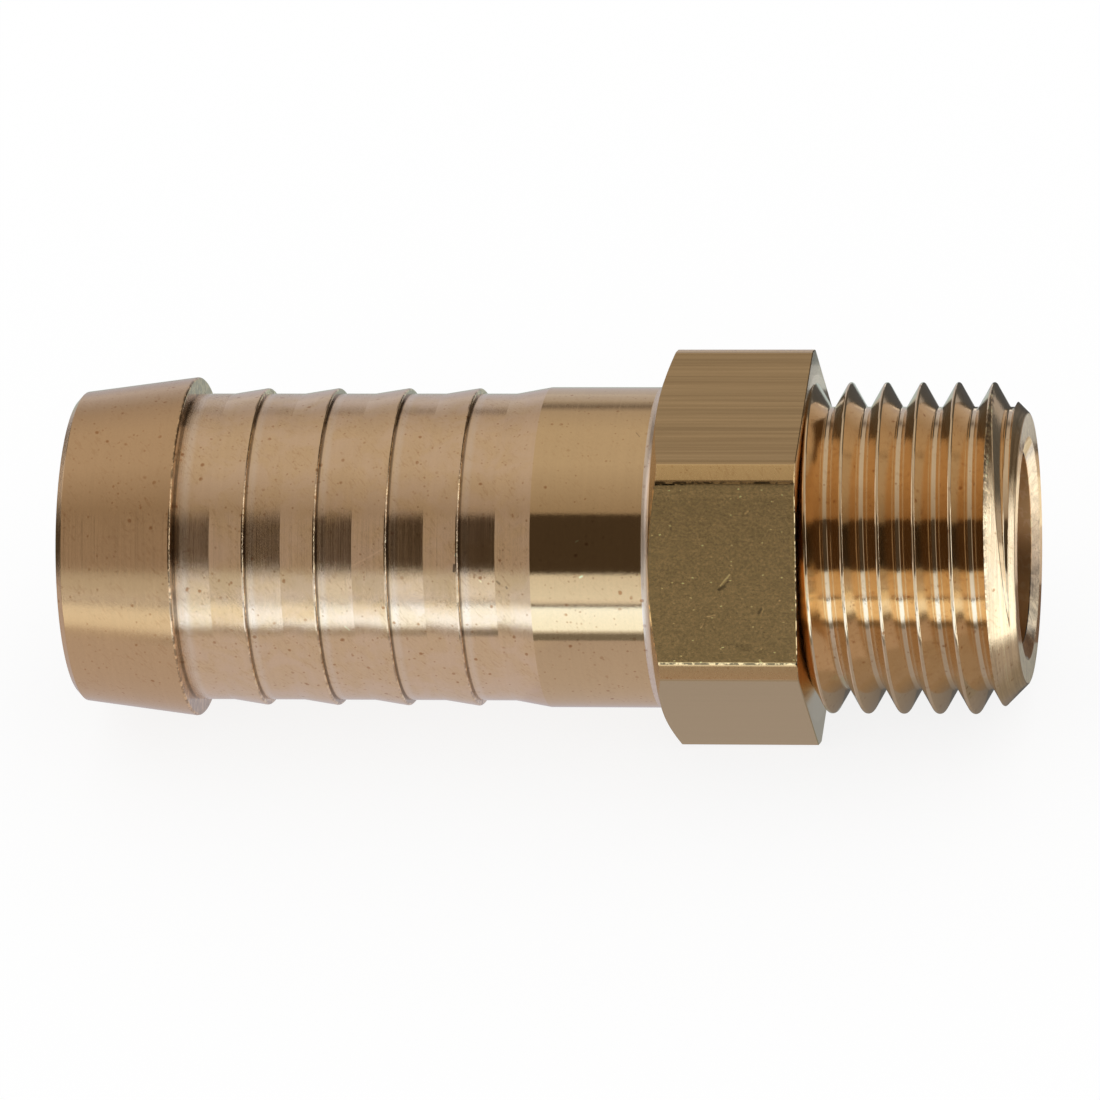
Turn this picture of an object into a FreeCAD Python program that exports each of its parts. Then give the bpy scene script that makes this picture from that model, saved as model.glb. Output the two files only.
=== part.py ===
import FreeCAD, Part
import math
import os

from FreeCAD import Vector

# A brass hose tail for a 13 mm hose, turned in one piece from hexagonal bar.
# The axis is X. The origin is on the axis, at the hexagon's face on the thread side.
# The thread points to +X and the barbs to -X. The fitting lies on the hexagon's lowest flat.
# All sizes are in millimetres and all angles in degrees.

# Bore, with a wide shallow countersink at the thread's end
bore_diameter = 8.0
bore_edge_break = 0.18
bore_mouth_diameter = 9.3
bore_mouth_depth = 0.31

# Hexagon
hex_length = 6.15
hex_across_flats = 14.8
hex_turned_diameter = 16.6
hex_face_diameter = 14.6
hex_chamfer_angle = 21.6

# Hose tail, from its tip to the hexagon
lead_barb_length = 5.0
lead_barb_diameter = 14.26
tip_diameter = 12.95
tip_edge_break = 0.25
small_barb_count = 4
small_barb_diameter = 13.34
barb_pitch = 3.0
barb_cone_length = 1.5
root_diameter = 12.86
shank_diameter = 13.4
shank_length = 5.0
relief_width = 0.23
relief_ramp = 0.4
relief_depth = 0.02
shank_fillet = 0.4

# Thread, M14 x 1.5, right hand
thread_length = 8.85
thread_diameter = 13.82
thread_pitch = 1.5
thread_flank_angle = 30.0
thread_crest_width = 0.11
thread_root_width = 0.21
thread_end_diameter = 11.3
thread_end_angle = 45.0
thread_start_turn = 21.0

# Places along the axis
hex_start = -hex_length
shank_start = hex_start - shank_length
lead_barb_crest = shank_start - barb_pitch * (small_barb_count + 1)
tip_start = lead_barb_crest - lead_barb_length

origin = Vector(0, 0, 0)
axis = Vector(1, 0, 0)


def point(x, radius):
    """A point of a turned outline, which is drawn above the axis."""
    return Vector(x, 0, radius)


def turned(edges):
    """The solid that an outline makes when it is closed along the axis and turned about it."""
    first = edges[0].Vertexes[0].Point
    last = edges[-1].Vertexes[-1].Point
    corners = [last, point(last.x, 0), point(first.x, 0), first]
    closing = [Part.makeLine(a, b) for a, b in zip(corners, corners[1:])]
    return Part.Face(Part.Wire(edges + closing)).revolve(origin, axis, 360)


def joined(edges, *targets):
    """The outline carried on by straight edges from its last point through the targets."""
    for target in targets:
        edges = edges + [Part.makeLine(edges[-1].Vertexes[-1].Point, target)]
    return edges


def hose_tail():
    """The barbed tail and its plain shank, up to the hexagon's face."""
    tip_radius = tip_diameter / 2
    lead_radius = lead_barb_diameter / 2
    barb_radius = small_barb_diameter / 2
    root_radius = root_diameter / 2
    shank_radius = shank_diameter / 2

    # Lead-in barb, with the edge of its tip broken
    lead_slope = (lead_radius - tip_radius) / lead_barb_length
    broken_radius = tip_radius + lead_slope * tip_edge_break
    edges = [Part.makeLine(point(tip_start, tip_radius - tip_edge_break),
                           point(tip_start + tip_edge_break, broken_radius))]
    edges = joined(edges, point(lead_barb_crest, lead_radius))

    # Its shoulder ends in a shallow relief, which a short ramp brings up to the root
    relief_radius = root_radius - relief_depth
    relief_end = lead_barb_crest + relief_width
    edges = joined(edges, point(lead_barb_crest, relief_radius), point(relief_end, relief_radius),
                   point(relief_end + relief_ramp, root_radius))

    # Small barbs, each a cone that rises from the root to a sharp shoulder
    for i in range(1, small_barb_count + 1):
        crest = lead_barb_crest + barb_pitch * i
        edges = joined(edges, point(crest - barb_cone_length, root_radius),
                       point(crest, barb_radius), point(crest, root_radius))

    # The last cone runs out into the plain shank, which meets the hexagon in a hollow fillet
    fillet_start = hex_start - shank_fillet
    edges = joined(edges, point(shank_start - barb_cone_length, root_radius),
                   point(shank_start, shank_radius), point(fillet_start, shank_radius))
    fillet_middle = point(fillet_start + shank_fillet * math.sqrt(0.5),
                          shank_radius + shank_fillet * (1 - math.sqrt(0.5)))
    fillet_end = point(hex_start, shank_radius + shank_fillet)
    fillet = Part.Arc(point(fillet_start, shank_radius), fillet_middle, fillet_end).toShape()
    return turned(edges + [fillet])


def hexagon():
    """The spanner hexagon, with its corners turned down and chamfered on the tail side."""
    corner_radius = hex_across_flats / math.sqrt(3)
    turns = [math.radians(60 * i) for i in range(7)]
    corners = [Vector(hex_start, corner_radius * math.cos(a), corner_radius * math.sin(a)) for a in turns]
    prism = Part.Face(Part.makePolygon(corners)).extrude(axis * hex_length)

    face_radius = hex_face_diameter / 2
    turned_radius = hex_turned_diameter / 2
    chamfer_length = (turned_radius - face_radius) * math.tan(math.radians(hex_chamfer_angle))
    edges = [Part.makeLine(point(hex_start, face_radius), point(hex_start + chamfer_length, turned_radius))]
    return prism.common(turned(joined(edges, point(0, turned_radius))))


def thread_groove():
    """A V with a flat bottom, swept along a right-hand helix that runs past both ends of the thread."""
    crest_radius = thread_diameter / 2
    flank_slope = math.tan(math.radians(thread_flank_angle))
    mouth_width = thread_pitch - thread_crest_width
    depth = (mouth_width - thread_root_width) / 2 / flank_slope
    over = 0.6 * thread_crest_width / 2 / flank_slope
    half_top = mouth_width / 2 + over * flank_slope
    half_root = thread_root_width / 2

    start = -1.5 * thread_pitch
    length = thread_length + thread_pitch - start
    helix = Part.makeLongHelix(thread_pitch, length, crest_radius, 0, False)
    section = Part.makePolygon([
        Vector(crest_radius + over, 0, -half_top),
        Vector(crest_radius - depth, 0, -half_root),
        Vector(crest_radius - depth, 0, half_root),
        Vector(crest_radius + over, 0, half_top),
        Vector(crest_radius + over, 0, -half_top),
    ])
    sweep = Part.BRepOffsetAPI.MakePipeShell(helix)
    sweep.setBiNormalMode(Vector(0, 0, 1))
    sweep.add(section)
    sweep.build()
    sweep.makeSolid()
    groove = sweep.shape()

    # The helix is made standing up from +X, so it is laid along the axis and turned to its start
    groove.rotate(origin, Vector(0, 0, 1), 180)
    groove.rotate(origin, Vector(0, 1, 0), 90)
    groove.rotate(origin, axis, -thread_start_turn)
    groove.translate(Vector(start, 0, 0))
    return groove


def thread():
    """The threaded stub, with its end chamfered to the end face."""
    crest_radius = thread_diameter / 2
    end_radius = thread_end_diameter / 2
    chamfer_length = (crest_radius - end_radius) / math.tan(math.radians(thread_end_angle))
    edges = [Part.makeLine(point(0, crest_radius), point(thread_length - chamfer_length, crest_radius))]
    stub = turned(joined(edges, point(thread_length, end_radius)))
    return stub.cut(thread_groove())


def bore():
    """The straight bore, with its edge broken at the hose end and countersunk at the thread's end."""
    radius = bore_diameter / 2
    flared = radius + bore_edge_break
    edges = [Part.makeLine(point(tip_start, flared), point(tip_start + bore_edge_break, radius))]
    return turned(joined(edges, point(thread_length - bore_mouth_depth, radius),
                         point(thread_length, bore_mouth_diameter / 2)))


fitting = hexagon().fuse(hose_tail()).fuse(thread()).cut(bore()).removeSplitter()

os.makedirs("parts", exist_ok=True)
fitting.exportStep("parts/hose_tail.step")
print("hose_tail:", len(fitting.Solids), "solid,", len(fitting.Faces), "faces,",
      round(fitting.Volume, 2), "mm3,", "valid" if fitting.isValid() else "not valid")
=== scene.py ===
import math

import bmesh
import bpy
from mathutils import Matrix, Vector


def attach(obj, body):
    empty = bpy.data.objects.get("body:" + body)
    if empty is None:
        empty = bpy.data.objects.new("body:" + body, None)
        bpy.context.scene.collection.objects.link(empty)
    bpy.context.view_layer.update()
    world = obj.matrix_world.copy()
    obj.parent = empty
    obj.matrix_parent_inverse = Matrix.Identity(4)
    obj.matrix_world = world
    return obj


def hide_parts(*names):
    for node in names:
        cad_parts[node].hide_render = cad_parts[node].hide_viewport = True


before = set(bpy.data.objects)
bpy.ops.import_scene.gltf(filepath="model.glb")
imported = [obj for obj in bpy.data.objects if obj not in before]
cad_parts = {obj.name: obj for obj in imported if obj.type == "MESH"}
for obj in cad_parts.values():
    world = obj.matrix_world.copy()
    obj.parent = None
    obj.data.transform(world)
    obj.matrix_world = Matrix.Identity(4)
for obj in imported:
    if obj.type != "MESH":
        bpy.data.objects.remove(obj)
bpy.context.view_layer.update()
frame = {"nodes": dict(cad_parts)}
print("frame loaded:", ", ".join(frame["nodes"]))

# Everything is modelled in millimetres along the X axis and brought to metres at the end.
# Turn angles go round the axis: 0 faces -Y, 90 faces up.
metresPerMillimetre = 0.001

tail = {
    "boreRadius": 4.0, "boreBreak": 0.18, "mouthRadius": 4.65, "mouthDepth": 0.31,
    "tipStart": -31.15, "tipRadius": 6.475, "tipBreak": 0.25,
    "leadCrest": -26.15, "leadRadius": 7.13,
    "reliefWidth": 0.23, "reliefRamp": 0.4, "reliefDepth": 0.008,
    "smallBarbs": 4, "barbPitch": 3.0, "coneLength": 1.5,
    "barbRadius": 6.67, "rootRadius": 6.43,
    "shankStart": -11.15, "shankRadius": 6.7, "shankFillet": 0.4,
    "crispEdge": 0.02, "crispSegments": 2, "crestEdge": 0.11, "crestSegments": 3, "filletSegments": 18,
}

hexagon = {
    "start": -6.15, "apothem": 7.4, "turnedRadius": 8.3, "faceRadius": 7.3, "chamferAngle": 21.6,
    "endBreak": 0.04, "wornLongEdge": 0.02, "wornEndEdge": 0.025, "wornShare": 0.67, "firstFlat": 30.0,
}

thread = {
    "length": 8.85, "crestRadius": 6.91, "pitch": 1.5, "flankAngle": 30.0,
    "crestWidth": 0.11, "rootWidth": 0.21, "endRadius": 5.65, "endBreak": 0.03,
    "crestAtSide": -0.07, "sideAngle": 128.0, "seamAngle": 183.0,
    "crispEdge": 0.045, "crispSegments": 3, "spareTurns": 2,
}

# reach, cutDepth and chipSpare bound the edges and faces that a closing face or a cut takes in
skin = {"columns": 288, "unrolledWidth": 44.0, "merge": 0.0002, "sharpAngle": 5.5,
        "reach": 0.1, "cutDepth": 0.5, "chipSpare": 0.01}


def drawChain(bm, points):
    corners = [bm.verts.new((x, 0, radius)) for x, radius in points]
    for pair in zip(corners, corners[1:]):
        bm.edges.new(pair)
    return corners


def softenCorners(bm, corners, width, segments):
    bmesh.ops.bevel(bm, geom=corners, offset=width, offset_type="OFFSET", affect="VERTICES",
                    segments=segments, profile=0.5, material=-1, clamp_overlap=True)


def rollOut(bm, edges, shift=0.0):
    # stretches an outline sideways over one whole turn, with the shift a screw line makes in that turn
    grown = bmesh.ops.extrude_edge_only(bm, edges=edges)["geom"]
    moved = [part for part in grown if isinstance(part, bmesh.types.BMVert)]
    bmesh.ops.translate(bm, verts=moved, vec=(shift, skin["unrolledWidth"], 0))


def tailOutline():
    root = tail["rootRadius"]
    crest = tail["leadCrest"]
    slope = (tail["leadRadius"] - tail["tipRadius"]) / (crest - tail["tipStart"])
    end = thread["length"]
    chip = thread["endBreak"]
    points = [
        (end - chip, thread["endRadius"] + chip), (end, thread["endRadius"] - chip), (end, tail["mouthRadius"]),
        (end - tail["mouthDepth"], tail["boreRadius"]),
        (tail["tipStart"] + tail["boreBreak"], tail["boreRadius"]),
        (tail["tipStart"], tail["boreRadius"] + tail["boreBreak"]),
        (tail["tipStart"], tail["tipRadius"] - tail["tipBreak"]),
        (tail["tipStart"] + tail["tipBreak"], tail["tipRadius"] + slope * tail["tipBreak"]),
        (crest, tail["leadRadius"]), (crest, root - tail["reliefDepth"]),
        (crest + tail["reliefWidth"], root - tail["reliefDepth"]),
        (crest + tail["reliefWidth"] + tail["reliefRamp"], root),
    ]
    crisp = [7]
    crests = [8]
    for i in range(tail["smallBarbs"]):
        crest += tail["barbPitch"]
        points += [(crest - tail["coneLength"], root), (crest, tail["barbRadius"]), (crest, root)]
        crests.append(len(points) - 2)
    points += [(tail["shankStart"] - tail["coneLength"], root), (tail["shankStart"], tail["shankRadius"])]
    points.append((hexagon["start"], tail["shankRadius"]))
    fillet = len(points) - 1
    rise = hexagon["turnedRadius"] - hexagon["faceRadius"]
    chamfer = rise * math.tan(math.radians(hexagon["chamferAngle"]))
    points += [(hexagon["start"], hexagon["faceRadius"]),
               (hexagon["start"] + chamfer, hexagon["turnedRadius"]),
               (-hexagon["endBreak"], hexagon["turnedRadius"]),
               (0.0, hexagon["turnedRadius"] - hexagon["endBreak"])]
    crisp += [fillet + 1, fillet + 2]
    return points, crisp, crests, fillet


def threadOutline():
    half = thread["crestWidth"] / 2
    rootHalf = thread["rootWidth"] / 2
    depth = (thread["pitch"] / 2 - half - rootHalf) / math.tan(math.radians(thread["flankAngle"]))
    firstCrest = thread["crestAtSide"] + thread["pitch"] * (thread["sideAngle"] - thread["seamAngle"]) / 360
    turns = math.ceil(thread["length"] / thread["pitch"]) + 2 * thread["spareTurns"]
    points = []
    for i in range(turns):
        crest = firstCrest + thread["pitch"] * (i - thread["spareTurns"] + 1)
        valley = crest + thread["pitch"] / 2
        low = thread["crestRadius"] - depth
        points += [(crest - half, thread["crestRadius"]), (crest + half, thread["crestRadius"]),
                   (valley - rootHalf, low), (valley + rootHalf, low)]
    return points


def fillBetween(bm, chain, target):
    # closes the gap between a cut line and the straight edge of the turned outline with one face
    width = skin["unrolledWidth"]
    ends = {}
    for y in (0.0, width):
        ends[y] = [v for e in chain for v in e.verts if abs(v.co.y - y) < skin["merge"]][0]
    line = [e for e in bm.edges if e.is_boundary and len(e.link_faces) == 1
            and abs(e.verts[0].co.y - e.verts[1].co.y) > width / 2
            and all(abs(v.co.x - target[0]) < skin["merge"] and abs(v.co.z - target[1]) < skin["merge"]
                    for v in e.verts)][0]
    loop = list(chain) + [line]
    for v in line.verts:
        loop.append(bm.edges.new((v, ends[0.0 if v.co.y < width / 2 else width])))
    bmesh.ops.contextual_create(bm, geom=loop)


def modelBrass():
    bm = bmesh.new()
    points, crisp, crests, fillet = tailOutline()
    corners = drawChain(bm, points)
    softenCorners(bm, [corners[i] for i in crisp], tail["crispEdge"], tail["crispSegments"])
    softenCorners(bm, [corners[i] for i in crests], tail["crestEdge"], tail["crestSegments"])
    softenCorners(bm, [corners[fillet]], tail["shankFillet"], tail["filletSegments"])
    rollOut(bm, bm.edges[:])

    screw = bmesh.new()
    threadCorners = drawChain(screw, threadOutline())
    softenCorners(screw, threadCorners[1:-1], thread["crispEdge"], thread["crispSegments"])
    rollOut(screw, screw.edges[:], -thread["pitch"])
    whole = screw.verts[:] + screw.edges[:] + screw.faces[:]
    bmesh.ops.bisect_plane(screw, geom=whole, dist=skin["merge"], plane_co=(0, 0, 0),
                           plane_no=(1, 0, 0), clear_inner=True)
    whole = screw.verts[:] + screw.edges[:] + screw.faces[:]
    bmesh.ops.bisect_plane(screw, geom=whole, dist=skin["merge"],
                           plane_co=(thread["length"], 0, thread["endRadius"]),
                           plane_no=(1, 0, 1), clear_outer=True)
    draft = bpy.data.meshes.new("screwDraft")
    screw.to_mesh(draft)
    screw.free()
    bm.from_mesh(draft)
    bpy.data.meshes.remove(draft)

    # the hexagon's face round the start of the thread, and the chamfer at its end
    inner = thread["crestRadius"] + skin["reach"]
    faceChain = [e for e in bm.edges if len(e.link_faces) == 1
                 and all(abs(v.co.x) < skin["merge"] and v.co.z < inner for v in e.verts)]
    fillBetween(bm, faceChain, (0.0, hexagon["turnedRadius"] - hexagon["endBreak"]))
    reach = thread["length"] + thread["endRadius"]
    onCone = [e for e in bm.edges if len(e.link_faces) == 1
              and all(abs(v.co.x + v.co.z - reach) < skin["merge"] * 2 for v in e.verts)]
    chip = thread["endBreak"]
    coneEnd = thread["length"] - chip
    coneChain = [e for e in onCone if any(v.co.x < coneEnd - skin["chipSpare"] for v in e.verts)]
    fillBetween(bm, coneChain, (coneEnd, thread["endRadius"] + chip))
    print("outlines rolled out:", len(bm.faces), "strips")

    width = skin["unrolledWidth"]
    rest = bm.verts[:] + bm.edges[:] + bm.faces[:]
    for i in range(1, skin["columns"]):
        y = width * i / skin["columns"]
        cut = bmesh.ops.bisect_plane(bm, geom=rest, dist=skin["merge"], plane_co=(0, y, 0), plane_no=(0, 1, 0))
        rest = []
        for part in cut["geom"]:
            points = [part] if isinstance(part, bmesh.types.BMVert) else part.verts
            if all(v.co.y > y - skin["merge"] for v in points):
                rest.append(part)
    for v in bm.verts:
        turn = math.radians(thread["seamAngle"] + 360 * v.co.y / width)
        v.co = (v.co.x, -v.co.z * math.cos(turn), v.co.z * math.sin(turn))
    bmesh.ops.remove_doubles(bm, verts=bm.verts, dist=skin["merge"])
    print("rolled up:", len(bm.faces), "faces, open edges:", sum(e.is_boundary for e in bm.edges))

    for i in range(6):
        angle = math.radians(hexagon["firstFlat"] + 60 * i)
        outward = Vector((0, -math.cos(angle), math.sin(angle)))
        cutFlat(bm, outward * hexagon["apothem"], outward)
    half = math.acos(hexagon["apothem"] / hexagon["turnedRadius"])
    wornTurn = half * hexagon["wornShare"]
    reachOut = hexagon["turnedRadius"] * math.cos(half - wornTurn) - hexagon["wornLongEdge"]
    for i in range(6):
        for side in (-1, 1):
            angle = math.radians(hexagon["firstFlat"] + 60 * i) + side * wornTurn
            outward = Vector((0, -math.cos(angle), math.sin(angle)))
            cutFlat(bm, outward * reachOut, outward)
        angle = math.radians(hexagon["firstFlat"] + 60 * i)
        outward = Vector((1, -math.cos(angle), math.sin(angle))).normalized()
        corner = Vector((0, -math.cos(angle), math.sin(angle))) * hexagon["apothem"]
        cutFlat(bm, corner - outward * hexagon["wornEndEdge"], outward)
    bmesh.ops.recalc_face_normals(bm, faces=bm.faces)
    print("hexagon cut:", len(bm.faces), "faces, open edges:", sum(e.is_boundary for e in bm.edges))
    return bm


def cutFlat(bm, place, outward):
    # only the hexagon's own faces are cut, so the thread in front of it stays whole
    near = [f for f in bm.faces if all(v.co.x < skin["merge"] for v in f.verts)
            and any(v.co.dot(outward) > place.dot(outward) - skin["cutDepth"] for v in f.verts)]
    edges = {e for f in near for e in f.edges}
    verts = {v for f in near for v in f.verts}
    cut = bmesh.ops.bisect_plane(bm, geom=list(verts) + list(edges) + near, dist=skin["merge"],
                                 plane_co=place, plane_no=outward, clear_outer=True)
    rim = [part for part in cut["geom_cut"] if isinstance(part, bmesh.types.BMEdge) and part.is_boundary]
    if rim:
        bmesh.ops.edgeloop_fill(bm, edges=rim)


def finishPiece(bm, name, material):
    bmesh.ops.scale(bm, vec=(metresPerMillimetre,) * 3, verts=bm.verts)
    limit = math.radians(skin["sharpAngle"])
    for f in bm.faces:
        f.smooth = True
    for e in bm.edges:
        e.smooth = len(e.link_faces) == 2 and e.calc_face_angle() < limit
    mesh = bpy.data.meshes.new(name)
    bm.to_mesh(mesh)
    bm.free()
    mesh.materials.append(material)
    piece = bpy.data.objects.new(name, mesh)
    bpy.context.scene.collection.objects.link(piece)
    return piece


# Materials

class Signal:
    # a node's output that Python's own operators can be used on
    def __init__(self, socket):
        self.socket = socket

    def worked(self, operation, first, second=None):
        tree = self.socket.id_data
        node = tree.nodes.new("ShaderNodeMath")
        node.operation = operation
        for slot, value in zip(node.inputs, (first, second)):
            if isinstance(value, Signal):
                tree.links.new(value.socket, slot)
            elif value is not None:
                slot.default_value = value
        return Signal(node.outputs[0])

    def __add__(self, other):
        return self.worked("ADD", self, other)

    def __radd__(self, other):
        return self.worked("ADD", other, self)

    def __sub__(self, other):
        return self.worked("SUBTRACT", self, other)

    def __rsub__(self, other):
        return self.worked("SUBTRACT", other, self)

    def __mul__(self, other):
        return self.worked("MULTIPLY", self, other)

    def __rmul__(self, other):
        return self.worked("MULTIPLY", other, self)

    def __truediv__(self, other):
        return self.worked("DIVIDE", self, other)

    def __rtruediv__(self, other):
        return self.worked("DIVIDE", other, self)

    def __pow__(self, other):
        return self.worked("POWER", self, other)

    def __rpow__(self, other):
        return self.worked("POWER", other, self)

    def __neg__(self):
        return self.worked("MULTIPLY", self, -1.0)

    def __abs__(self):
        return self.worked("ABSOLUTE", self)

    def least(self, other):
        return self.worked("MINIMUM", self, other)

    def most(self, other):
        return self.worked("MAXIMUM", self, other)

    def leftOver(self, step):
        return self.worked("MODULO", self, step)

    def angleTo(self, other):
        return self.worked("ARCTAN2", self, other)


class Finish:
    # one material and the nodes that are added to it
    def __init__(self, name):
        self.material = bpy.data.materials.new(name)
        self.material.use_nodes = True
        self.tree = self.material.node_tree
        self.tree.nodes.clear()

    def add(self, kind, settings=None, sockets=None):
        node = self.tree.nodes.new(kind)
        for name, value in (settings or {}).items():
            setattr(node, name, value)
        for name, value in (sockets or {}).items():
            slot = node.inputs[name]
            if isinstance(value, Signal):
                self.tree.links.new(value.socket, slot)
            else:
                slot.default_value = value
        return node

    def place(self):
        # the point on the object, in millimetres
        spot = Signal(self.add("ShaderNodeTexCoord").outputs["Object"])
        return self.stretched(spot, (1 / metresPerMillimetre,) * 3)

    def split(self, vector):
        parts = self.add("ShaderNodeSeparateXYZ", None, {0: vector})
        return [Signal(out) for out in parts.outputs]

    def rise(self, signal, start, end, low=0.0, high=1.0, shape="SMOOTHSTEP"):
        node = self.add("ShaderNodeMapRange", {"interpolation_type": shape},
                        {"Value": signal, "From Min": start, "From Max": end, "To Min": low, "To Max": high})
        return Signal(node.outputs["Result"])

    def band(self, signal, start, end, soft):
        return self.rise(signal, start - soft, start + soft) * (1 - self.rise(signal, end - soft, end + soft))

    def stretched(self, vector, amounts):
        node = self.add("ShaderNodeVectorMath", {"operation": "MULTIPLY"}, {0: vector, 1: amounts})
        return Signal(node.outputs["Vector"])

    def shifted(self, vector, amounts):
        node = self.add("ShaderNodeVectorMath", {"operation": "ADD"}, {0: vector, 1: amounts})
        return Signal(node.outputs["Vector"])

    def warped(self, vector, scale, amount):
        # the same point, moved a little this way and that
        node = self.add("ShaderNodeTexNoise", None, {"Vector": vector, "Scale": scale, "Detail": 1.0})
        moved = self.add("ShaderNodeVectorMath", {"operation": "MULTIPLY_ADD"},
                         {0: Signal(node.outputs["Color"]), 1: (amount,) * 3, 2: vector})
        return Signal(moved.outputs["Vector"])

    def noise(self, vector, scale, detail=2.0, roughness=0.5, distortion=0.0):
        node = self.add("ShaderNodeTexNoise", None, {
            "Vector": vector, "Scale": scale, "Detail": detail, "Roughness": roughness,
            "Distortion": distortion})
        return Signal(node.outputs["Fac"])

    def dots(self, vector, scale, size, share):
        # small round spots, one in each of the cells that are picked by chance
        node = self.add("ShaderNodeTexVoronoi", None, {"Vector": vector, "Scale": scale})
        chance = self.split(Signal(node.outputs["Color"]))[0]
        near = 1 - self.rise(Signal(node.outputs["Distance"]), size * 0.4, size)
        return near * self.rise(chance, 1 - share, 1 - share * 0.7)

    def tint(self, amount, first, second, blend="MIX"):
        node = self.add("ShaderNodeMix", {"data_type": "RGBA", "blend_type": blend},
                        {"Factor": amount, 6: first, 7: second})
        return Signal(node.outputs[2])

    def blend(self, amount, first, second):
        return first * (1 - amount) + second * amount

    def stroke(self, u, v, start, end, width):
        # 1 on a straight mark between two points of the surface, fading out at its sides
        du, dv = end[0] - start[0], end[1] - start[1]
        along = ((u - start[0]) * du + (v - start[1]) * dv) / (du * du + dv * dv)
        along = along.most(0.0).least(1.0)
        offU = u - start[0] - along * du
        offV = v - start[1] - along * dv
        return 1 - self.rise((offU * offU + offV * offV) ** 0.5, width * 0.3, width)


brassLook = {
    "rosy": (0.88, 0.64, 0.42, 1.0), "golden": (0.86, 0.615, 0.365, 1.0),
    "leadTint": (0.74, 0.495, 0.275, 1.0), "shankTint": (0.83, 0.59, 0.32, 1.0),
    "drawn": (0.66, 0.47, 0.25, 1.0), "drawnDark": (0.44, 0.30, 0.15, 1.0),
    "strip": (0.84, 0.58, 0.27, 1.0), "lowStripShade": (0.66, 0.41, 0.18, 1.0), "pale": (0.95, 0.80, 0.64, 1.0),
    "olive": (0.62, 0.40, 0.15, 1.0), "lowFlat": (0.63, 0.475, 0.24, 1.0),
    "stain": (0.42, 0.17, 0.045, 1.0), "bore": (0.93, 0.56, 0.25, 1.0), "copper": (1.0, 0.64, 0.32, 1.0),
    "threadGold": (0.88, 0.68, 0.43, 1.0),
    "coneRoughness": 0.12, "leadRoughness": 0.15, "rootRoughness": 0.15, "lastRootRoughness": 0.095,
    "shankRoughness": 0.075, "cornerRoughness": 0.09, "hollowRoughness": 0.36,
    "flatRoughness": 0.24, "stripRoughness": 0.28,
    "threadRoughness": 0.10, "endFaceRoughness": 0.2, "boreRoughness": 0.5,
}

# how often each pattern changes in a millimetre: along X, Y and Z, or one number for all three
brassPattern = {
    "feed": (5.0, 0.12, 0.12), "coarseFeed": (1.3, 0.05, 0.05), "fineLines": (600.0, 0.1, 0.1),
    "drawn": (0.05, 6.0, 6.0), "drawnBands": (0.03, 0.9, 0.9), "grain": 9.0, "clouds": 0.8, "blotches": 2.6,
}

# heights of the fine relief in millimetres, and how far the thread's chamfer is tilted
brassRelief = {
    "fineLines": 0.0009, "shankLess": 0.0005, "threadLess": 0.0006, "coneMore": 0.0011,
    "firstRootMore": 0.0016, "feed": 0.0012, "shankFeed": 0.002, "coneFeed": 0.006,
    "coarseFeed": 0.002, "drawn": 0.002, "grain": 0.0005, "frontGrain": 0.0015, "rimGrain": 0.014,
    "coneTilt": 0.05,
}

# marks on the front flat, their light and dark as painted glints (brighter) and painted shade (darker): from
# and to (along X, up the flat), half width, and how much brighter
flatMarks = [
    ((-3.12, -0.50), (-2.74, -0.06), 0.055, 0.9), ((-3.17, -0.66), (-2.95, -0.54), 0.10, -0.5),
    ((-2.93, -0.44), (-2.72, -0.28), 0.05, -0.35), ((-4.02, -1.48), (-3.06, -0.77), 0.035, 0.16),
    ((-3.70, -1.80), (-3.38, -1.73), 0.04, 0.6), ((-3.98, -2.27), (-3.86, -2.10), 0.04, 0.5),
    ((-1.55, -1.64), (-1.45, -1.46), 0.08, -0.45), ((-1.44, -1.66), (-1.35, -1.48), 0.05, 0.25),
    ((-5.12, 2.16), (-5.13, 1.80), 0.035, -0.3), ((-2.06, 2.48), (-1.92, 2.58), 0.04, 0.6),
    ((-2.40, -3.02), (-2.00, -3.10), 0.22, -0.2), ((-1.55, -3.60), (-1.45, -3.76), 0.07, 1.2),
]

# marks on the turned tail, their light and dark as painted glints (brighter) and painted shade (darker): from
# and to (along X, turn angle), half width, and how much brighter
tailMarks = [
    ((-18.67, 30.9), (-17.20, 37.8), 0.035, 0.12), ((-14.32, 29.6), (-14.30, 31.8), 0.08, -0.7),
    ((-14.25, 35.2), (-14.23, 35.8), 0.05, 1.4), ((-12.56, 25.5), (-12.46, 24.7), 0.07, -0.4),
    ((-12.17, 23.6), (-12.14, 23.1), 0.06, -0.4), ((-13.23, 25.3), (-13.30, 26.0), 0.05, 0.4),
    ((-9.05, 27.6), (-8.96, 28.0), 0.06, 1.0), ((-19.05, 7.3), (-18.86, 5.6), 0.035, 0.5),
    ((-9.20, 40.3), (-9.12, 40.6), 0.04, 1.2), ((-6.98, 83.3), (-6.82, 81.4), 0.035, -0.3),
]


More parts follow.
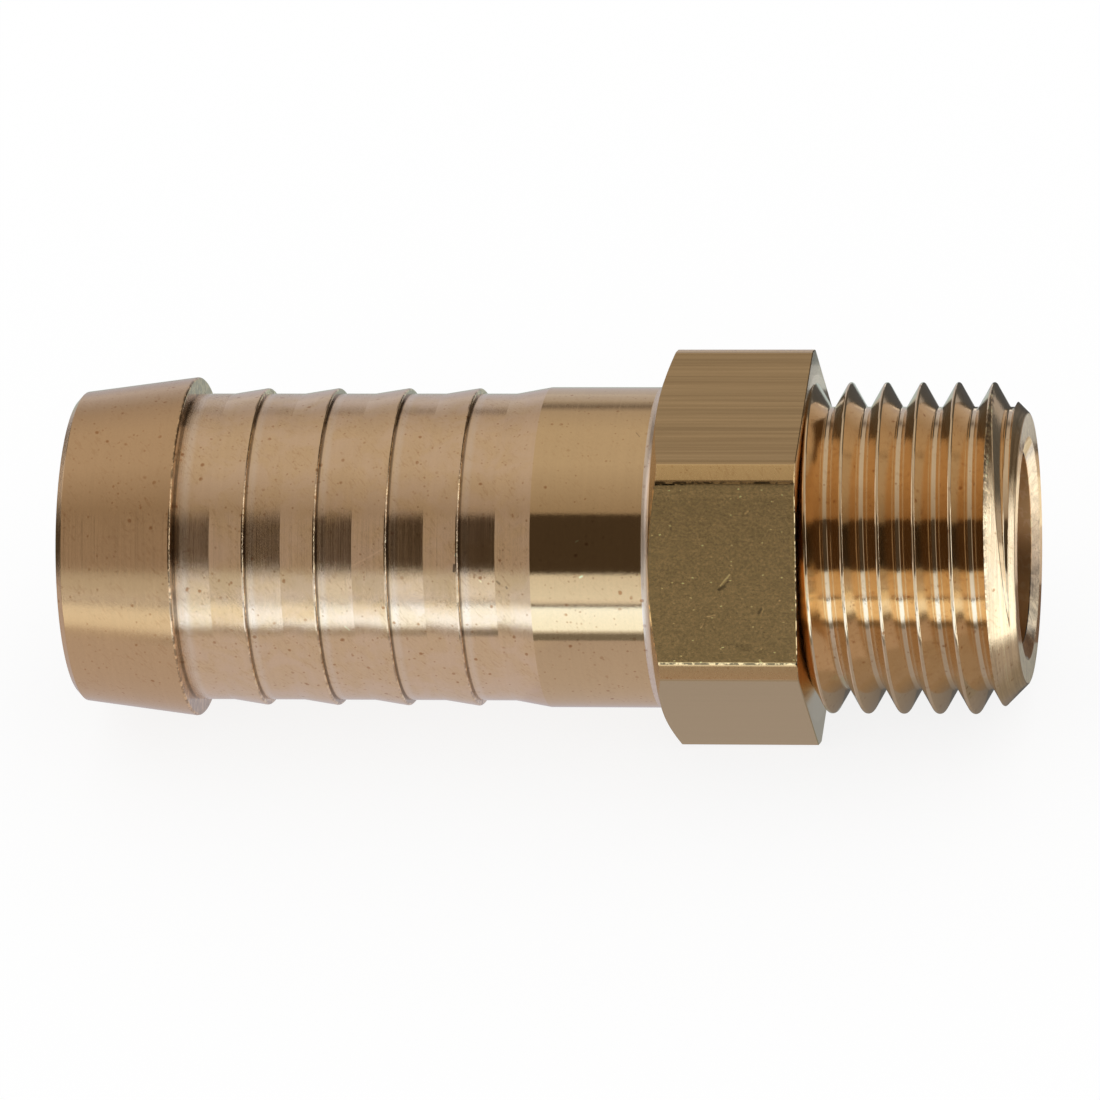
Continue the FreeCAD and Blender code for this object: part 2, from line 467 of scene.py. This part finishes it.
def brassFinish():
    finish = Finish("turnedBrass")
    place = finish.place()
    x, y, z = finish.split(place)
    radius = (y * y + z * z) ** 0.5
    turn = z.angleTo(-y)

    # masks for the parts of the surface, with soft edges of a few hundredths
    filletStart = hexagon["start"] - tail["shankFillet"]
    faceRadius = hexagon["faceRadius"]
    shank = finish.band(x, tail["shankStart"], filletStart + 0.04, 0.02)
    hollow = finish.band(x, filletStart + 0.04, hexagon["start"] + 0.02, 0.02)
    filletTop = tail["shankRadius"] + tail["shankFillet"] + 0.01
    hollow = hollow * (1 - finish.rise(radius, filletTop, faceRadius))
    barbs = finish.band(x, tail["leadCrest"] + 0.02, tail["shankStart"] - tail["coneLength"], 0.015)
    along = (x - tail["leadCrest"]).leftOver(tail["barbPitch"])
    roots = barbs * (1 - finish.rise(along, tail["coneLength"] - 0.015, tail["coneLength"] + 0.015))
    lead = 1 - finish.rise(x, tail["leadCrest"] - 0.01, tail["leadCrest"] + 0.01)
    corners = finish.band(x, tail["leadCrest"] + 0.01, tail["leadCrest"] + tail["reliefWidth"], 0.02)
    corners = corners.most(barbs * (1 - finish.rise(along, 0.14, 0.18)))
    # painted shade: the root is darkened in the concave corner beside each barb's shoulder
    cornerShade = finish.band(x, tail["leadCrest"], tail["shankStart"] - 2, 0.004)
    cornerShade = cornerShade * (1 - finish.rise(along, 0.05, 0.10))
    paleStrips = barbs * finish.band(along, 0.14, 0.38, 0.12)
    paleStrips = paleStrips.most(finish.band(x, tail["leadCrest"] + 0.25, tail["leadCrest"] + 0.6, 0.16) * 1.3)
    onHexagon = finish.band(x, hexagon["start"], 0.0, 0.01) * finish.rise(radius, faceRadius - 0.1, faceRadius)
    strips = onHexagon * finish.rise(radius, hexagon["turnedRadius"] - 0.015, hexagon["turnedRadius"] - 0.006)
    flats = onHexagon * (1 - strips)
    onTop = flats * finish.rise(z, hexagon["apothem"] - 0.03, hexagon["apothem"] - 0.01)
    threadPart = finish.rise(x, -0.005, 0.005)
    inside = 1 - finish.rise(radius, tail["boreRadius"] + 0.02, tail["boreRadius"] + 0.06)
    turned = (1 - flats) * (1 - inside)

    # lathe lines round the turned faces, and drawn lines along the flats
    feed = finish.noise(finish.stretched(place, brassPattern["feed"]), 1.0, 4.0, 0.7)
    coarseFeed = finish.noise(finish.stretched(place, brassPattern["coarseFeed"]), 1.0, 2.0)
    drawn = finish.noise(finish.stretched(place, brassPattern["drawn"]), 1.0, 4.0, 0.7)
    drawnBands = finish.noise(finish.stretched(place, brassPattern["drawnBands"]), 1.0, 2.0)
    grain = finish.noise(place, brassPattern["grain"], 2.0, 0.6)
    fineLines = finish.noise(finish.stretched(place, brassPattern["fineLines"]), 1.0, 1.0)
    clouds = finish.noise(finish.shifted(place, (3.0, 1.0, 7.0)), brassPattern["clouds"], 3.0, 0.55, 0.6)
    blotches = finish.noise(place, brassPattern["blotches"], 3.0, 0.6, 0.8)

    # pits in swirling rows, thicker in some places
    uneven = finish.warped(place, 3.0, 0.12)
    pits = finish.dots(uneven, 2.2, 0.24, 0.35) * finish.rise(clouds, 0.40, 0.58)
    finePits = finish.dots(finish.shifted(uneven, (11.0, 4.0, 2.0)), 5.0, 0.34, 0.45)
    finePits = finePits * finish.rise(blotches, 0.45, 0.60)
    arc = turn * tail["shankRadius"]
    slanted = finish.add("ShaderNodeCombineXYZ", None, {
        0: (x * 0.8 + arc * 0.6) * 8.0, 1: (arc * 0.8 - x * 0.6) * 2.2})
    rows = finish.noise(Signal(slanted.outputs[0]), 1.0, 3.0, 0.6, 1.0)
    rows = finish.rise(rows, 0.54, 0.64) * finish.rise(clouds, 0.42, 0.56)
    crestRim = finish.rise(abs(along - tail["barbPitch"]), 0.10, 0.0) * barbs
    leadRim = finish.band(x, tail["leadCrest"] - 0.09, tail["leadCrest"], 0.01)
    reach = x + radius
    coneStart = thread["length"] + thread["endRadius"]
    endCone = threadPart * finish.rise(reach, coneStart - 0.03, coneStart - 0.01) * (1 - inside)
    endFace = finish.rise(x, thread["length"] - 0.03, thread["length"] - 0.02)
    endFace = endFace * (1 - endCone) * (1 - inside)
    raggedCrest = threadPart * finish.band(reach, coneStart - 0.08, coneStart + 0.02, 0.02)
    raggedCrest = raggedCrest * finish.rise(radius, 6.6, 6.8)
    rims = crestRim.most(leadRim).most(raggedCrest)

    # colour
    colour = finish.tint(finish.rise(clouds, 0.35, 0.65), brassLook["rosy"], brassLook["golden"])
    colour = finish.tint(shank, colour, brassLook["shankTint"])
    colour = finish.tint(lead, colour, brassLook["leadTint"])
    flatTurn = math.radians(hexagon["firstFlat"])
    up = y * math.sin(flatTurn) + z * math.cos(flatTurn)
    facing = z * math.sin(flatTurn) - y * math.cos(flatTurn)
    onFront = flats * finish.rise(facing, hexagon["apothem"] - 0.01, hexagon["apothem"] - 0.004)
    worn = flats * (1 - onFront) * finish.rise(facing, hexagon["apothem"] - 0.25, hexagon["apothem"] - 0.2)
    streaks = 0.5 + (drawn - 0.5) * (0.35 + 0.3 * onTop)
    flatColour = finish.tint(finish.rise(streaks, 0.3, 0.7), brassLook["drawnDark"], brassLook["drawn"])
    flatColour = finish.tint(onFront * 0.8, flatColour, brassLook["olive"])
    lowFlat = flats * (1 - finish.rise(z, -0.6, -0.2)) * (1 - onFront)
    flatColour = finish.tint(lowFlat * 0.8, flatColour, brassLook["lowFlat"])
    colour = finish.tint(flats, colour, flatColour)
    colour = finish.tint(strips.most(worn), colour, brassLook["strip"])
    # painted shade: the turned strips are darker and browner towards the bottom
    colour = finish.tint(strips * (1 - finish.rise(z, 1.5, 4.0)), colour, brassLook["lowStripShade"])
    colour = finish.tint(hollow.most(paleStrips * 0.35), colour, brassLook["pale"])
    colour = finish.tint(threadPart * 0.8, colour, brassLook["threadGold"])
    stained = (pits * 0.7).most(finePits * 0.5).most(rows * 0.17 * (1 - shank * 0.5)) * turned
    colour = finish.tint(stained, colour, brassLook["stain"])
    boreColour = finish.tint(finish.rise(blotches, 0.52, 0.62), brassLook["bore"], brassLook["copper"])
    colour = finish.tint(inside, colour, boreColour)
    shade = 1 + ((feed - 0.5) * 0.12 + (grain - 0.5) * 0.10) * turned
    shade = shade + (drawnBands - 0.5) * 0.5 * onTop + ((grain - 0.5) * 0.6 + (blotches - 0.5) * 0.35) * onFront
    # painted glints: small flecks on the front flat, brightened past the metal's own colour
    glintFlecks = finish.dots(finish.stretched(uneven, (2.4, 4.6, 4.6)), 1.0, 0.17, 0.55)
    glintFlecks = glintFlecks * finish.rise(blotches, 0.38, 0.5)
    shade = shade + glintFlecks * 1.4 * onFront - cornerShade * 0.5
    mouthStart = thread["length"] - tail["mouthDepth"]
    mouth = finish.rise(x, mouthStart - 0.04, mouthStart + 0.01)
    mouth = mouth * (1 - finish.rise(radius, tail["mouthRadius"] - 0.03, tail["mouthRadius"] + 0.03))
    # painted shade: the countersink is darkened at its bottom and its top, and the bore towards its top and its
    # bottom
    shade = shade - mouth * ((1 - finish.rise(z, -3.6, -2.6)) * 0.55 + finish.rise(z, 1.2, 2.2) * 0.45)
    shade = shade - inside * (finish.rise(z, 1.8, 3.0) * 0.65 + finish.rise(-z, 1.6, 3.2) * 0.45)
    shade = shade + endCone * (feed - 0.5) * 1.1 + endFace.most(mouth) * (blotches - 0.45) * 1.2

    # the front flat's upper edge with a painted dark reflection along it and a pale band, the flat darker
    # towards its lower edge, and its worn edges
    edge = (hexagon["turnedRadius"] ** 2 - hexagon["apothem"] ** 2) ** 0.5
    ragged = finish.noise(place, 2.4, 3.0, 0.7)
    upper = onFront * finish.rise(up, edge - 0.15, edge - 0.07)
    shade = shade - upper * (0.25 + 0.7 * finish.rise(-x, 4.2, 4.8)) * finish.rise(ragged, 0.3, 0.45)
    paleBand = finish.band(up, edge - 0.65, edge - 0.24, 0.08)
    shade = shade + onFront * (paleBand * 0.12 - finish.rise(-up, 0.5, edge) * 0.08)
    # the worn edges are darkened in ragged patches, with extra notches at the end edge, so that their glints
    # show in dashes
    shade = shade + worn * (finish.rise(ragged, 0.45, 0.57) * 0.95 - 0.75)
    shade = shade - worn * finish.rise(x, -0.06, -0.03) * (1 - finish.rise(ragged, 0.48, 0.58)) * 0.35
    # painted glints and a painted dark line along the barb crests and the thread's last crest, ragged like the
    # burrs there
    shade = shade + rims * (finish.rise(ragged, 0.42, 0.62) * 0.75 - 0.4)

    # marks placed one by one
    # each mark brightens or darkens the base colour: painted glints and painted shade
    for start, end, width, bright in flatMarks:
        mark = finish.stroke(x, up, start, end, width) * onFront
        shade = shade + mark * bright
    perDegree = math.radians(tail["shankRadius"])
    onTail = 1 - finish.rise(x, hexagon["start"] - 0.05, hexagon["start"])
    for start, end, width, bright in tailMarks:
        first, last = ((spot[0], spot[1] * perDegree) for spot in (start, end))
        mark = finish.stroke(x, arc, first, last, width) * onTail
        shade = shade + mark * bright
    grey = finish.add("ShaderNodeCombineColor", None, {0: shade, 1: shade, 2: shade})
    colour = finish.tint(1.0, colour, Signal(grey.outputs[0]), "MULTIPLY")

    # roughness
    rootRough = finish.rise(x, tail["leadCrest"], tail["shankStart"], brassLook["rootRoughness"],
                            brassLook["lastRootRoughness"], "LINEAR")
    rough = finish.blend(lead, brassLook["coneRoughness"], brassLook["leadRoughness"])
    rough = finish.blend(roots, rough, rootRough)
    rough = finish.blend(shank, rough, brassLook["shankRoughness"])
    rough = finish.blend(corners, rough, brassLook["cornerRoughness"])
    rough = finish.blend(hollow, rough, brassLook["hollowRoughness"])
    rough = finish.blend(flats, rough, brassLook["flatRoughness"])
    rough = finish.blend(strips, rough, brassLook["stripRoughness"])
    rough = finish.blend(threadPart, rough, brassLook["threadRoughness"])
    rough = finish.blend(endFace, rough, brassLook["endFaceRoughness"])
    rough = finish.blend(inside, rough, brassLook["boreRoughness"])
    rough = rough + (feed - 0.5) * 0.04 * turned + (grain - 0.5) * 0.06 + stained * 0.05

    # relief, in millimetres
    deep = brassRelief
    lined = deep["fineLines"] - shank * deep["shankLess"] - (threadPart - endCone) * deep["threadLess"]
    lined = (lined + endCone * deep["coneMore"]) * (0.5 + feed)
    lined = lined + roots * finish.rise(x, tail["leadCrest"], tail["shankStart"],
                                        deep["firstRootMore"], 0.0, "LINEAR")
    feedDepth = deep["feed"] + shank * deep["shankFeed"] + endCone * deep["coneFeed"]
    height = (feed - 0.5) * feedDepth + (coarseFeed - 0.5) * deep["coarseFeed"] + (fineLines - 0.5) * lined
    height = height * turned + (streaks - 0.5) * deep["drawn"] * flats
    height = height + (grain - 0.5) * (deep["grain"] + deep["frontGrain"] * onFront)
    height = height - endCone * x * deep["coneTilt"]
    height = height + (grain - 0.5) * deep["rimGrain"] * rims
    bump = finish.add("ShaderNodeBump", None, {"Height": height, "Distance": metresPerMillimetre})

    shader = finish.add("ShaderNodeBsdfPrincipled", None, {
        "Base Color": colour, "Metallic": 1.0, "Roughness": rough, "Normal": Signal(bump.outputs[0])})
    finish.add("ShaderNodeOutputMaterial", None, {"Surface": Signal(shader.outputs[0])})
    return finish.material


# Studio

# sizes and levels in metres, and the panels' steps in degrees
studio = {
    "floorSize": 4.0, "floorLevel": -0.0074, "cardLevel": -0.00738,
    "paperShare": 0.15, "stepAngle": 4.0,
}

# panels round the axis: name, first and last turn angle, the two ends of the edge that is turned
# (along X, from the axis, in metres), and the light at the first and last angle
panels = [
    ("frontCard", 0, 19, (-0.22, 0.6), (0.35, 0.6), (0.85, 0.93, 1.05), (0.72, 0.76, 0.82)),
    ("frontCardLeft", 0, 19, (-0.45, 0.6), (-0.22, 0.6), (0.60, 0.62, 0.62), (0.55, 0.56, 0.55)),
    ("cameraOpening", 19, 62, (-0.24, 0.6), (0.35, 0.6), (0.062, 0.047, 0.034), (0.062, 0.047, 0.034)),
    ("sideCard", 19, 62, (-0.45, 0.6), (-0.24, 0.6), (0.41, 0.36, 0.33), (0.39, 0.34, 0.295)),
    ("softboxFront", 62, 100, (-0.45, 0.6), (0.35, 0.6), (0.33, 0.28, 0.235), (0.53, 0.486, 0.445)),
    ("softboxTop", 100, 130, (-0.45, 0.6), (0.35, 0.6), (0.53, 0.486, 0.445), (0.53, 0.486, 0.445)),
    ("softboxBack", 130, 158, (-0.45, 0.6), (0.0, 0.6), (0.53, 0.486, 0.445), (0.42, 0.38, 0.36)),
    ("softboxBackRight", 130, 141, (0.0, 0.6), (0.35, 0.6), (0.50, 0.46, 0.42), (0.40, 0.36, 0.32)),
    ("backdrop", 158, 180, (-0.45, 0.6), (0.0, 0.6), (0.40, 0.37, 0.36), (0.52, 0.52, 0.58)),
    ("backdropRight", 141, 180, (0.0, 0.6), (0.35, 0.6), (0.09, 0.08, 0.07), (0.09, 0.08, 0.07)),
    ("backdropLineTop", 153, 160, (-0.115, 0.58), (0.0, 0.58), (0.44, 0.40, 0.38), (0.17, 0.15, 0.15)),
    ("backdropLine", 160, 168, (-0.115, 0.58), (0.0, 0.58), (0.17, 0.15, 0.15), (0.42, 0.40, 0.40)),
    ("leftWallLow", 0, 15, (-0.45, 0.6), (-0.45, 0.30), (0.50, 0.48, 0.46), (0.44, 0.43, 0.41)),
    ("leftWallDark", 15, 62, (-0.45, 0.6), (-0.45, 0.30), (0.02, 0.016, 0.012), (0.02, 0.016, 0.012)),
    ("leftWall", 62, 97, (-0.45, 0.6), (-0.45, 0.30), (0.24, 0.22, 0.20), (0.46, 0.44, 0.43)),
    ("leftWallTop", 97, 126, (-0.45, 0.6), (-0.45, 0.30), (0.46, 0.44, 0.43), (0.48, 0.46, 0.45)),
    ("leftWallBack", 126, 142, (-0.45, 0.6), (-0.45, 0.30), (0.30, 0.27, 0.24), (0.26, 0.23, 0.20)),
    ("leftWallFar", 142, 180, (-0.45, 0.6), (-0.45, 0.30), (0.06, 0.05, 0.04), (0.06, 0.05, 0.04)),
    ("leftLightLow", 0, 19, (-0.45, 0.30), (-0.45, 0.13), (0.95, 0.92, 0.95), (0.95, 0.92, 0.95)),
    ("leftLightDim", 19, 62, (-0.45, 0.30), (-0.45, 0.13), (0.20, 0.17, 0.16), (0.20, 0.17, 0.16)),
    ("leftLight", 62, 180, (-0.45, 0.30), (-0.45, 0.13), (0.95, 0.92, 0.95), (0.95, 0.92, 0.95)),
    ("leftOpening", 0, 180, (-0.45, 0.13), (-0.45, 0.001), (0.10, 0.08, 0.06), (0.10, 0.08, 0.06)),
    ("rightWallLow", 0, 19, (0.35, 0.6), (0.35, 0.105), (0.70, 0.72, 0.76), (0.70, 0.72, 0.76)),
    ("rightWallOpening", 19, 62, (0.35, 0.6), (0.35, 0.105), (0.03, 0.025, 0.02), (0.03, 0.025, 0.02)),
    ("rightWall", 62, 122, (0.35, 0.6), (0.35, 0.105), (0.45, 0.42, 0.40), (0.50, 0.47, 0.45)),
    ("rightWallDark", 122, 180, (0.35, 0.6), (0.35, 0.105), (0.11, 0.09, 0.07), (0.11, 0.09, 0.07)),
    ("rightLightWide", 95, 138, (0.345, 0.20), (0.345, 0.10), (1.3, 1.35, 1.4), (1.1, 1.1, 1.1)),
    ("rightLight", 0, 180, (0.35, 0.105), (0.35, 0.001), (1.5, 1.6, 1.75), (1.5, 1.6, 1.75)),
]

# cards lying on the floor and seen only in reflections, which paint the floor's shade, pools of light and the
# end face's reflections there:
# name, from and to along X and along Y in millimetres, and the light at its near and far side
floorCards = [
    ("horizonCard", (-1500, 1500), (-1500, -165), (0.79, 0.83, 0.95), (0.79, 0.83, 0.95)),
    ("dimCard", (-700, 700), (-165, -100), (0.12, 0.11, 0.10), (0.12, 0.11, 0.10)),
    ("brightCard", (-40, 700), (-100, -50), (1.2, 1.5, 2.0), (1.18, 1.44, 1.85)),
    ("brightCardLeft", (-700, -40), (-100, -50), (0.94, 1.02, 1.05), (0.94, 1.0, 1.0)),
    ("brightCardNear", (-33, 700), (-50, -25), (1.18, 1.44, 1.85), (1.15, 1.38, 1.7)),
    ("brightCardNearLeft", (-700, -33), (-50, -25), (0.94, 1.0, 1.0), (0.92, 0.96, 0.94)),
    ("brightCardEdge", (-33, 700), (-25, -22.5), (1.0, 1.1, 1.3), (0.3, 0.3, 0.3)),
    ("brightCardEdgeLeft", (-700, -33), (-25, -22.5), (0.9, 0.92, 0.9), (0.6, 0.57, 0.55)),
    ("darkStrip", (-17, 700), (-22.5, -18.7), (0.2, 0.195, 0.195), (0.2, 0.195, 0.195)),
    ("darkStripMiddle", (-33, -17), (-22.5, -18.7), (0.38, 0.36, 0.35), (0.38, 0.36, 0.35)),
    ("darkStripLeft", (-700, -33), (-22.5, -18.7), (0.55, 0.52, 0.50), (0.55, 0.52, 0.50)),
    ("nearCard", (-13, 0), (-18.7, 6), (0.46, 0.43, 0.47), (0.54, 0.52, 0.58)),
    ("nearCardLeft", (-62, -13), (-18.7, 6), (0.54, 0.51, 0.52), (0.54, 0.52, 0.58)),
    ("nearCardRight", (0, 13), (-18.7, -5), (0.39, 0.36, 0.37), (0.36, 0.34, 0.35)),
    ("hexagonShade", (0, 3), (1, 20.5), (0.12, 0.12, 0.12), (0.12, 0.12, 0.12)),
    ("hexagonPale", (0, 2.7), (20.5, 42), (0.475, 0.55, 0.55), (0.475, 0.55, 0.55)),
    ("hexagonPaleNear", (0, 0.9), (-5, 1), (0.32, 0.34, 0.34), (0.32, 0.34, 0.34)),
    ("threadPaleNear", (0.9, 9.1), (-5, -1.5), (0.34, 0.31, 0.29), (0.18, 0.16, 0.14)),
    ("firstToothShade", (0.9, 3), (-1.5, 1), (0.12, 0.12, 0.12), (0.12, 0.12, 0.12)),
    ("threadShade", (3, 9.1), (-1.5, 18), (0.12, 0.12, 0.12), (0.14, 0.14, 0.14)),
    ("threadPale", (3, 9.1), (18, 22.3), (0.16, 0.16, 0.15), (0.22, 0.22, 0.21)),
    ("threadShadeFar", (2.7, 8), (22.3, 85), (0.08, 0.08, 0.08), (0.10, 0.10, 0.10)),
    ("threadShadeRight", (8, 18), (19.5, 42), (0.08, 0.08, 0.08), (0.08, 0.08, 0.08)),
    ("chamferTan", (9.1, 13), (-5, 0), (0.26, 0.23, 0.19), (0.20, 0.18, 0.15)),
    ("endFaceLow", (9.1, 13), (0, 2.9), (0.33, 0.34, 0.32), (0.33, 0.34, 0.32)),
    ("endFaceBrown", (9.1, 13), (2.9, 6.9), (0.17, 0.11, 0.075), (0.17, 0.11, 0.075)),
    ("endFacePink", (9.1, 13), (6.9, 10.9), (0.45, 0.36, 0.29), (0.70, 0.57, 0.42)),
    ("endFaceGold", (9.1, 13), (10.9, 14.3), (1.0, 0.87, 0.62), (0.9, 0.77, 0.54)),
    ("endFaceBeige", (9.1, 13), (14.3, 16), (0.6, 0.46, 0.3), (0.42, 0.31, 0.20)),
    ("endFaceSpot", (9.1, 13), (16, 16.7), (0.08, 0.06, 0.05), (0.08, 0.06, 0.05)),
    ("endFaceTop", (9.1, 13), (16.7, 19.5), (0.36, 0.36, 0.34), (0.45, 0.47, 0.46)),
    ("endCard", (13, 18), (-18.7, 7.5), (0.33, 0.30, 0.28), (0.40, 0.37, 0.35)),
    ("mouthGold", (13, 18.9), (7.5, 12), (1.1, 1.15, 1.2), (1.1, 1.15, 1.2)),
    ("mouthPale", (18.9, 30), (3, 14), (0.58, 0.57, 0.62), (0.58, 0.57, 0.62)),
    ("endCardFar", (18, 700), (14, 42), (0.40, 0.37, 0.35), (0.40, 0.37, 0.35)),
    ("endCardBright", (18, 700), (-18.7, 3), (1.4, 1.5, 1.6), (1.4, 1.5, 1.6)),
    ("leftShade", (-700, -62), (-24, 60), (0.07, 0.06, 0.05), (0.07, 0.06, 0.05)),
    ("farDarkCard", (-62, 0), (6, 19.7), (0.10, 0.10, 0.10), (0.10, 0.10, 0.10)),
    ("farPaleCard", (-62, 0), (19.7, 30), (0.455, 0.52, 0.49), (0.455, 0.52, 0.49)),
    ("farCard", (-62, 0), (30, 1500), (0.5, 0.5, 0.56), (0.5, 0.5, 0.56)),
    ("farCardLeft", (-1500, -62), (60, 1500), (0.6, 0.6, 0.64), (0.6, 0.6, 0.64)),
    ("farCardMiddle", (0, 8), (85, 1500), (0.4, 0.4, 0.45), (0.5, 0.5, 0.56)),
    ("farCardRight", (8, 700), (42, 1500), (0.10, 0.10, 0.10), (0.10, 0.10, 0.10)),
]


def glowing(name, start, end, first, last, byTurn):
    # light of one colour, or one that changes to another by turn angle or along Y
    finish = Finish(name)
    colour = (*first, 1.0)
    if last != first:
        x, y, z = finish.split(finish.place())
        spot = z.angleTo(-y) * math.degrees(1) if byTurn else y
        colour = finish.tint(finish.rise(spot, start, end, shape="LINEAR"), colour, (*last, 1.0))
    glow = finish.add("ShaderNodeEmission", None, {"Color": colour, "Strength": 1.0})
    finish.add("ShaderNodeOutputMaterial", None, {"Surface": Signal(glow.outputs[0])})
    return finish.material


def stageLight(bm, name, material):
    mesh = bpy.data.meshes.new(name)
    bm.to_mesh(mesh)
    bm.free()
    mesh.materials.append(material)
    material.cycles.emission_sampling = "NONE"
    light = bpy.data.objects.new(name, mesh)
    bpy.context.scene.collection.objects.link(light)
    light.visible_camera = False
    light.visible_diffuse = False
    light.visible_shadow = False


def stagePanel(name, start, end, left, right, first, last):
    bm = bmesh.new()
    turn = math.radians(start)
    ends = [bm.verts.new((x, -reach * math.cos(turn), reach * math.sin(turn))) for x, reach in (left, right)]
    edge = bm.edges.new(ends)
    bmesh.ops.spin(bm, geom=[edge, *ends], cent=(0, 0, 0), axis=(-1, 0, 0), angle=math.radians(end - start),
                   steps=math.ceil((end - start) / studio["stepAngle"]), use_merge=False)
    stageLight(bm, name, glowing(name + "Glow", start, end, first, last, True))


def stageCard(name, acrossX, acrossY, first, last):
    bm = bmesh.new()
    bmesh.ops.create_grid(bm, x_segments=1, y_segments=1, size=0.5)
    sizes = [(end - start) * metresPerMillimetre for start, end in (acrossX, acrossY)]
    bmesh.ops.scale(bm, verts=bm.verts, vec=(*sizes, 1))
    middle = [(start + end) * metresPerMillimetre / 2 for start, end in (acrossX, acrossY)]
    bmesh.ops.translate(bm, verts=bm.verts, vec=(*middle, studio["cardLevel"]))
    stageLight(bm, name, glowing(name + "Glow", *acrossY, first, last, False))


def stageFloor():
    finish = Finish("paleFloor")
    rays = finish.add("ShaderNodeLightPath")
    direct = Signal(rays.outputs["Is Camera Ray"]) + Signal(rays.outputs["Is Glossy Ray"])
    direct = direct + Signal(rays.outputs["Is Transmission Ray"])
    paper = finish.add("ShaderNodeBsdfDiffuse", None, {"Color": (1, 1, 1, 1)})
    shine = finish.add("ShaderNodeEmission", None, {"Color": (1, 1, 1, 1), "Strength": 1.0})
    both = finish.add("ShaderNodeMixShader", None, {
        0: direct * (1 - studio["paperShare"]), 1: Signal(paper.outputs[0]), 2: Signal(shine.outputs[0])})
    finish.add("ShaderNodeOutputMaterial", None, {"Surface": Signal(both.outputs[0])})
    bm = bmesh.new()
    bmesh.ops.create_grid(bm, x_segments=1, y_segments=1, size=studio["floorSize"] / 2)
    bmesh.ops.translate(bm, verts=bm.verts, vec=(0, 0, studio["floorLevel"]))
    mesh = bpy.data.meshes.new("floor")
    bm.to_mesh(mesh)
    bm.free()
    mesh.materials.append(finish.material)
    floor = bpy.data.objects.new("floor", mesh)
    bpy.context.scene.collection.objects.link(floor)


def whiteWorld():
    world = bpy.data.worlds.new("studioAir")
    world.use_nodes = True
    world.node_tree.nodes["Background"].inputs["Color"].default_value = (1, 1, 1, 1)
    world.node_tree.nodes["Background"].inputs["Strength"].default_value = 1.0
    bpy.context.scene.world = world


# angles in degrees, the lens in millimetres, the other lengths in metres
camera = {"azimuth": 10.7717, "elevation": 37.8322, "roll": -6.5141, "distance": 0.43444,
          "lens": 339.41, "aim": (-0.01115, 0.0, 0.0), "aside": -0.0001335, "above": -0.0001216}


def placeCamera():
    turn, lift, roll = (math.radians(camera[name]) for name in ("azimuth", "elevation", "roll"))
    back = Vector((math.sin(turn) * math.cos(lift), -math.cos(turn) * math.cos(lift), math.sin(lift)))
    level = Vector((math.cos(turn), math.sin(turn), 0))
    right = level * math.cos(roll) + back.cross(level) * math.sin(roll)
    up = back.cross(right)
    data = bpy.data.cameras.new("camera")
    data.lens = camera["lens"]
    data.sensor_width = 36.0
    data.clip_start, data.clip_end = 0.01, 10.0
    holder = bpy.data.objects.new("camera", data)
    place = Vector(camera["aim"]) + right * camera["aside"] + up * camera["above"] + back * camera["distance"]
    holder.matrix_world = Matrix.Translation(place) @ Matrix((right, up, back)).transposed().to_4x4()
    bpy.context.scene.collection.objects.link(holder)
    bpy.context.scene.camera = holder


brass = finishPiece(modelBrass(), "brassHoseTail", brassFinish())
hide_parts("hose_tail")
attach(brass, "root")
print("brass hose tail made:", len(brass.data.polygons), "faces")

for panel in panels:
    stagePanel(*panel)
for card in floorCards:
    stageCard(*card)
stageFloor()
whiteWorld()
placeCamera()
bpy.context.scene.view_settings.view_transform = "Standard"
print("studio lit")
